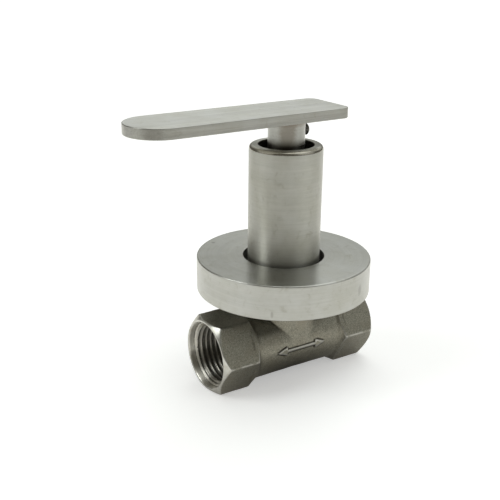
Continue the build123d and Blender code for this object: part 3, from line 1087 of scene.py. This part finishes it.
INSIDE = {
    "bottom_washer": ptfe,
    "plug_sleeve": ptfe,
    "thrust_washer": ptfe,
    "stem_bush": ptfe,
    "guide_bush": nylon,
    "plug": inner_steel,
    "sleeve_ring": inner_steel,
    "stem": inner_steel,
    "bonnet": inner_steel,
    "stop_washer": inner_steel,
    "extension_spindle": inner_steel,
    "retaining_ring": spring,
    "spindle_pin": spring,
    "stem_o_rings": rubber,
    "bonnet_o_ring": rubber,
    "neck_o_ring": rubber,
    "escutcheon_o_ring": rubber,
}
for node, material in INSIDE.items():
    wear(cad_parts[node], material)


def mark_finish(piece, choose):
    """Gives each face the material that choose picks from face centres in mm and normals."""
    mesh = piece.data
    count = len(mesh.polygons)
    centres = np.empty(count * 3)
    normals = np.empty(count * 3)
    mesh.polygons.foreach_get("center", centres)
    mesh.polygons.foreach_get("normal", normals)
    finish = choose(centres.reshape(-1, 3) / MM, normals.reshape(-1, 3))
    mesh.polygons.foreach_set("material_index", finish.astype(np.int32))
    mesh.update()


def casting_finish(centres, normals):
    """0 as cast, 1 turned chamfers and bores, 2 threads (painted shade), 3 the mouths and the
    threads' lead (painted light).
    """
    across = np.abs(centres[:, 0])
    radius = np.hypot(centres[:, 1], centres[:, 2] - pipe_z)
    post = np.hypot(centres[:, 0], centres[:, 1])
    outwards = normals[:, 0] * np.sign(centres[:, 0])
    chamfer = (across > hub_corner_start - 0.3) & (outwards > 0.45)
    mouth = (radius < mouth_r + 0.1) & (across > lead_start - 0.1) & (outwards < 0.9)
    lead = (radius < mouth_r) & (across > lead_end) & (outwards > 0.5)
    threads = (radius < thread_major_r + 0.15) & (across < lead_start - 0.05)
    stem_bore = (post < bonnet_thread_r + 0.3) & (centres[:, 2] > bonnet_thread_z)
    spigot = centres[:, 2] > tube_low[2] - 0.15
    turned_here = chamfer | stem_bore | spigot
    return np.select([mouth | lead, turned_here & ~threads, threads], [3, 1, 2], 0)


def tube_finish(centres, normals):
    """0 brushed, 1 the rounded rim (polished, painted reflection), 2 the bore (painted shade)."""
    radius = np.hypot(centres[:, 0], centres[:, 1])
    rim = (normals[:, 2] > 0.1) & (normals[:, 2] < 0.97)
    bore = radius < tube_bore_r + 0.15
    return np.where(bore, 2, np.where(rim, 1, 0))


def lever_finish(centres, normals):
    """0 the flat faces, 1 the sides (painted shade)."""
    return np.where(np.abs(normals[:, 2]) < 0.5, 1, 0)


mark_finish(casting, casting_finish)
mark_finish(tube, tube_finish)
mark_finish(lever, lever_finish)
for piece in (casting, screw):
    mark_edges(piece)

# ---- floor, light and camera -----------------------------------------------------------------

FLOOR_HALF = 3.0
FLOOR_GAP = 0.0002
FLOOR_WHITENING = 0.4
# Painted shadow: the floor gives the object less light close to it, full light further out.
FLOOR_PAINTED_SHADOW = 0.12               # what the floor gives back to the object close to it
FLOOR_FULL = 0.85              # and further away
FLOOR_GLOW = 0.47
FLOOR_PAINTED_SHADOW_R = 3.0              # millimetres from the stem's axis
FLOOR_FULL_R = 58.0


def build_floor():
    """A plain pale floor. It looks white; for the object it glows and holds a painted shadow,
    giving less light back close to the object.
    """
    mesh = bpy.data.meshes.new("floor")
    z = cad_low.z - FLOOR_GAP
    square = [(-1, -1), (1, -1), (1, 1), (-1, 1)]
    mesh.from_pydata([(a * FLOOR_HALF, b * FLOOR_HALF, z) for a, b in square], [], [(0, 1, 2, 3)])
    floor = bpy.data.objects.new("floor", mesh)
    bpy.context.scene.collection.objects.link(floor)
    look = Look("pale_floor", (0.9, 0.9, 0.9), 0.0, 0.8)
    speck = look.noise(look.place, 40.0, 3.0, 0.5)
    look.set("Base Color", look.mix(speck, (0.87, 0.87, 0.87), (0.89, 0.89, 0.89)))
    look.shader.inputs["Specular IOR Level"].default_value = 0.1
    look.shader.inputs["Emission Color"].default_value = (1, 1, 1, 1)
    look.shader.inputs["Emission Strength"].default_value = FLOOR_WHITENING
    share = look.mapped(look.radius(), FLOOR_PAINTED_SHADOW_R * MM, FLOOR_FULL_R * MM, 0.0, 1.0)
    bounce = look.tree.nodes.new("ShaderNodeBsdfPrincipled")
    bounce.name = "bounce"
    bounce.inputs["Roughness"].default_value = 1.0
    bounce.inputs["Specular IOR Level"].default_value = 0.0
    bounce.inputs["Emission Color"].default_value = (1.0, 0.985, 0.94, 1)
    # Painted shadow on the floor around the object, seen only by the object.
    dim = tuple(FLOOR_PAINTED_SHADOW * c for c in (1.0, 0.98, 0.94))
    full = tuple(FLOOR_FULL * c for c in (1.0, 0.99, 0.97))
    look.tree.links.new(look.mix(share, dim, full), bounce.inputs["Base Color"])
    look.tree.links.new(look.times(share, FLOOR_GLOW), bounce.inputs["Emission Strength"])
    rays = look.tree.nodes.new("ShaderNodeLightPath")
    choose = look.tree.nodes.new("ShaderNodeMixShader")
    look.tree.links.new(rays.outputs["Is Camera Ray"], choose.inputs[0])
    look.tree.links.new(bounce.outputs[0], choose.inputs[1])
    look.tree.links.new(look.shader.outputs[0], choose.inputs[2])
    look.tree.links.new(choose.outputs[0], look.tree.nodes["Material Output"].inputs["Surface"])
    mesh.materials.append(look.material)


def direction(azimuth, elevation):
    """Unit vector towards an azimuth (0 is -Y, 90 is +X) and an elevation, in degrees."""
    a, e = math.radians(azimuth), math.radians(elevation)
    return Vector((math.sin(a) * math.cos(e), -math.cos(a) * math.cos(e), math.sin(e)))


# Soft lights: azimuth, elevation, radius of full light, radius where it ends, strength.
# Angles are in degrees.
SOFT_LIGHTS = {
    "overhead": (90, 80, 10, 42, 1.25),
    "right_back": (115, 38, 8, 36, 0.65),
    "behind": (155, 40, 8, 36, 0.6),
    "left": (245, 22, 6, 30, 0.35),
    "right": (38, 35, 8, 36, 0.55),
    "lamp": (252, 40, 5, 18, 4.0),
}
LIGHT_COLOR = (0.965, 1.0, 0.985, 1)
ROOM = (0.155, 0.15, 0.13, 1)


def build_world():
    """A dim warm room with broad soft lights, none of them in front. It looks white itself."""
    world = bpy.data.worlds.new("studio")
    world.use_nodes = True
    tree = world.node_tree
    place = tree.nodes.new("ShaderNodeTexCoord").outputs["Generated"]
    room = tree.nodes["Background"]
    room.inputs["Color"].default_value = ROOM
    total = room.outputs[0]
    for name, (azimuth, elevation, full, end, strength) in SOFT_LIGHTS.items():
        dot = tree.nodes.new("ShaderNodeVectorMath")
        dot.operation = "DOT_PRODUCT"
        tree.links.new(place, dot.inputs[0])
        dot.inputs[1].default_value = direction(azimuth, elevation)
        lobe = tree.nodes.new("ShaderNodeMapRange")
        lobe.name = name
        lobe.interpolation_type = "SMOOTHSTEP"
        lobe.inputs["From Min"].default_value = math.cos(math.radians(end))
        lobe.inputs["From Max"].default_value = math.cos(math.radians(full))
        lobe.inputs["To Min"].default_value = 0.0
        lobe.inputs["To Max"].default_value = strength
        tree.links.new(dot.outputs["Value"], lobe.inputs["Value"])
        light = tree.nodes.new("ShaderNodeBackground")
        light.inputs["Color"].default_value = LIGHT_COLOR
        tree.links.new(lobe.outputs[0], light.inputs["Strength"])
        add = tree.nodes.new("ShaderNodeAddShader")
        tree.links.new(total, add.inputs[0])
        tree.links.new(light.outputs[0], add.inputs[1])
        total = add.outputs[0]
    seen = tree.nodes.new("ShaderNodeBackground")
    seen.inputs["Color"].default_value = (1, 1, 1, 1)
    rays = tree.nodes.new("ShaderNodeLightPath")
    choose = tree.nodes.new("ShaderNodeMixShader")
    tree.links.new(rays.outputs["Is Camera Ray"], choose.inputs[0])
    tree.links.new(total, choose.inputs[1])
    tree.links.new(seen.outputs[0], choose.inputs[2])
    tree.links.new(choose.outputs[0], tree.nodes["World Output"].inputs["Surface"])
    bpy.context.scene.world = world


CAMERA_PLACE = Vector((-153.59, -214.37, 108.35)) * MM
CAMERA_FORWARD = Vector((0.51449, 0.78670, -0.34119))
CAMERA_UP = Vector((0.17776, 0.29140, 0.93994))
CAMERA_LENS = 60.365


def build_camera():
    """The camera at the photograph's viewing angle."""
    data = bpy.data.cameras.new("camera")
    data.lens = CAMERA_LENS
    data.sensor_width = 36.0
    data.clip_start = 0.01
    camera = bpy.data.objects.new("camera", data)
    camera.location = CAMERA_PLACE
    forward = CAMERA_FORWARD.normalized()
    right = forward.cross(CAMERA_UP).normalized()
    up = right.cross(forward)
    camera.rotation_mode = "QUATERNION"
    camera.rotation_quaternion = Matrix((right, up, -forward)).transposed().to_quaternion()
    bpy.context.scene.collection.objects.link(camera)
    bpy.context.scene.camera = camera


build_floor()
build_world()
build_camera()
bpy.context.scene.view_settings.view_transform = "Standard"
